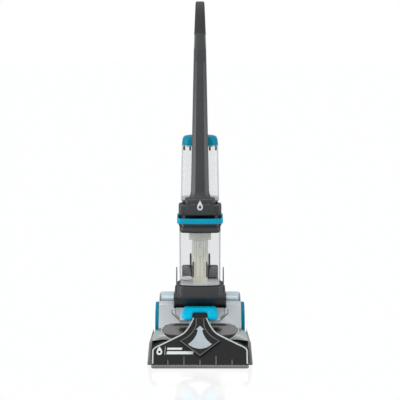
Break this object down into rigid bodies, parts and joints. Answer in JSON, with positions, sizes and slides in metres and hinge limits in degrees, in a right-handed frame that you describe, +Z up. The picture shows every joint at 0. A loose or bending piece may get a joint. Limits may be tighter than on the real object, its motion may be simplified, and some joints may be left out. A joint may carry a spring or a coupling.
{
  "type": "upright carpet cleaner",
  "caption": "Upright carpet cleaner with a wide brush head, lift-off nozzle, clear front and rear tanks, and a leaning loop-grip handle that reclines.",
  "frame": {"origin": "centre of the footprint, on the floor under the wheels and the squeegee", "axes": "+Z up, -Y towards the nozzle at the front, X across the head"},
  "size_m": [0.3282, 0.33, 1.11],
  "materials": {
    "graphite_plastic": "satin graphite moulded ABS",
    "black_plastic": "satin black moulded ABS",
    "smoked_plastic": "glossy smoked styrene",
    "silver_paint": "satin silver paint on plastic",
    "silver_trim": "bright silver paint on plastic",
    "teal_plastic": "glossy teal blue moulded plastic",
    "clear_plastic": "clear moulded plastic",
    "cream_plastic": "translucent cream plastic",
    "grey_plastic": "satin mid grey plastic",
    "black_rubber": "matt black rubber",
    "tyre_rubber": "matt black rubber tread",
    "soft_grip": "fine textured soft-touch grip",
    "bristle": "black nylon bristle rows",
    "steel": "turned bright steel",
    "motor_can": "plated can of a motor"
  },
  "bodies": {
    "floor_head": {"chassis": "black_plastic", "brush_hood": "smoked_plastic", "base_cover": "silver_paint", "suction_duct": "black_plastic", "spray_bar": "black_plastic", "drive_belt": "black_rubber", "water_pump": "motor_can", "brush_motor": "motor_can", "end_cap_left": "smoked_plastic", "end_cap_right": "smoked_plastic", "pivot_cover_left": "silver_paint", "pivot_cover_right": "silver_paint", "brush_bearing_left": "steel", "brush_bearing_right": "steel", "wheel_axle_left": "steel", "wheel_axle_right": "steel"},
    "brush": {"brush_roll": "bristle", "brush_shaft": "steel", "brush_pulley": "black_plastic"},
    "motor_shaft": {"motor_pulley": "steel"},
    "nozzle": {"nozzle_cover": "smoked_plastic", "suction_channel": "smoked_plastic", "nozzle_trim": "silver_trim", "nozzle_lip": "grey_plastic", "squeegee": "black_rubber"},
    "latch": {"nozzle_latch": "teal_plastic"},
    "wheel_left": {"wheel_hub_left": "teal_plastic", "tyre_left": "tyre_rubber"},
    "wheel_right": {"wheel_hub_right": "teal_plastic", "tyre_right": "tyre_rubber"},
    "recline_pedal": {"recline_pedal": "graphite_plastic"},
    "power_pedal": {"power_pedal": "graphite_plastic"},
    "upright": {"body_housing": "black_plastic", "exhaust_grille": "black_plastic", "vac_motor": "motor_can", "tank_cradle": "graphite_plastic", "spine": "cream_plastic", "collar": "graphite_plastic", "handle_beam": "graphite_plastic", "handle_loop": "graphite_plastic", "grip_pad": "soft_grip", "pivot_pin_left": "steel", "pivot_pin_right": "steel", "cord_gland": "black_rubber", "cord_hook_lower": "graphite_plastic"},
    "fan": {"vac_fan": "black_plastic"},
    "upper_hook": {"cord_hook_upper": "graphite_plastic"},
    "trigger": {"trigger": "teal_plastic"},
    "dirty_tank": {"dirty_tank_shell": "clear_plastic", "dirty_tank_base": "graphite_plastic", "stack_tube": "cream_plastic", "drain_cap": "clear_plastic", "tank_lid": "graphite_plastic", "lid_duct": "cream_plastic", "lid_seal": "black_rubber"},
    "float": {"float": "cream_plastic"},
    "carry_handle": {"carry_handle": "teal_plastic"},
    "clean_tank": {"clean_tank_shell": "clear_plastic", "clean_tank_valve": "black_plastic"},
    "clean_cap": {"clean_tank_cap": "teal_plastic"}
  },
  "joints": [
    {"name": "body_recline", "type": "hinge", "parent": "floor_head", "child": "upright", "pos_m": [0, 0.062, 0.128], "axis": [-1, 0, 0], "range_deg": [0, 65]},
    {"name": "brush_spin", "type": "hinge", "parent": "floor_head", "child": "brush", "pos_m": [0, -0.084, 0.033], "axis": [1, 0, 0], "continuous": true},
    {"name": "motor_spin", "type": "hinge", "parent": "floor_head", "child": "motor_shaft", "pos_m": [-0.14, -0.025, 0.04], "axis": [1, 0, 0], "continuous": true},
    {"name": "wheel_left_spin", "type": "hinge", "parent": "floor_head", "child": "wheel_left", "pos_m": [-0.125, 0.082, 0.07], "axis": [1, 0, 0], "continuous": true},
    {"name": "wheel_right_spin", "type": "hinge", "parent": "floor_head", "child": "wheel_right", "pos_m": [0.125, 0.082, 0.07], "axis": [1, 0, 0], "continuous": true},
    {"name": "nozzle_release", "type": "slide", "parent": "floor_head", "child": "nozzle", "axis": [0, -1, 0], "range_m": [0, 0.06]},
    {"name": "latch_hinge", "type": "hinge", "parent": "floor_head", "child": "latch", "pos_m": [0, -0.02897, 0.15242], "axis": [-1, 0, 0], "range_deg": [0, 35], "stiffness_Nm_per_rad": 0.12, "springref_deg": -20.05},
    {"name": "recline_pedal_press", "type": "hinge", "parent": "floor_head", "child": "recline_pedal", "pos_m": [-0.1, 0.108, 0.072], "axis": [-1, 0, 0], "range_deg": [0, 10], "stiffness_Nm_per_rad": 0.6, "springref_deg": -11.46},
    {"name": "power_pedal_press", "type": "hinge", "parent": "floor_head", "child": "power_pedal", "pos_m": [0.1, 0.108, 0.072], "axis": [-1, 0, 0], "range_deg": [0, 10], "stiffness_Nm_per_rad": 0.6, "springref_deg": -11.46},
    {"name": "fan_spin", "type": "hinge", "parent": "upright", "child": "fan", "pos_m": [0, 0.069, 0.249], "axis": [0, 0, 1], "continuous": true},
    {"name": "upper_hook_turn", "type": "hinge", "parent": "upright", "child": "upper_hook", "pos_m": [0, 0.06828, 0.85], "axis": [0, 0.9869, -0.1616], "range_deg": [0, 180]},
    {"name": "trigger_pull", "type": "hinge", "parent": "upright", "child": "trigger", "pos_m": [0, 0.132, 1.066], "axis": [1, 0, 0], "range_deg": [0, 8], "stiffness_Nm_per_rad": 0.25, "springref_deg": -11.46},
    {"name": "dirty_tank_release", "type": "slide", "parent": "upright", "child": "dirty_tank", "axis": [0, -1, 0], "range_m": [0, 0.15]},
    {"name": "float_rise", "type": "slide", "parent": "dirty_tank", "child": "float", "axis": [0, 0, 1], "range_m": [0, 0.012]},
    {"name": "carry_handle_swing", "type": "hinge", "parent": "dirty_tank", "child": "carry_handle", "pos_m": [0, -0.008, 0.445], "axis": [-1, 0, 0], "range_deg": [0, 42]},
    {"name": "clean_tank_release", "type": "slide", "parent": "upright", "child": "clean_tank", "axis": [0, 0.7071, 0.7071], "range_m": [0, 0.15]},
    {"name": "clean_cap_hinge", "type": "hinge", "parent": "clean_tank", "child": "clean_cap", "pos_m": [0, 0.1085, 0.6641], "axis": [-1, 0, 0], "range_deg": [0, 80]}
  ],
  "couplings": [
    {"joint": "motor_spin", "follows": "brush_spin", "ratio": 2.3699}
  ]
}
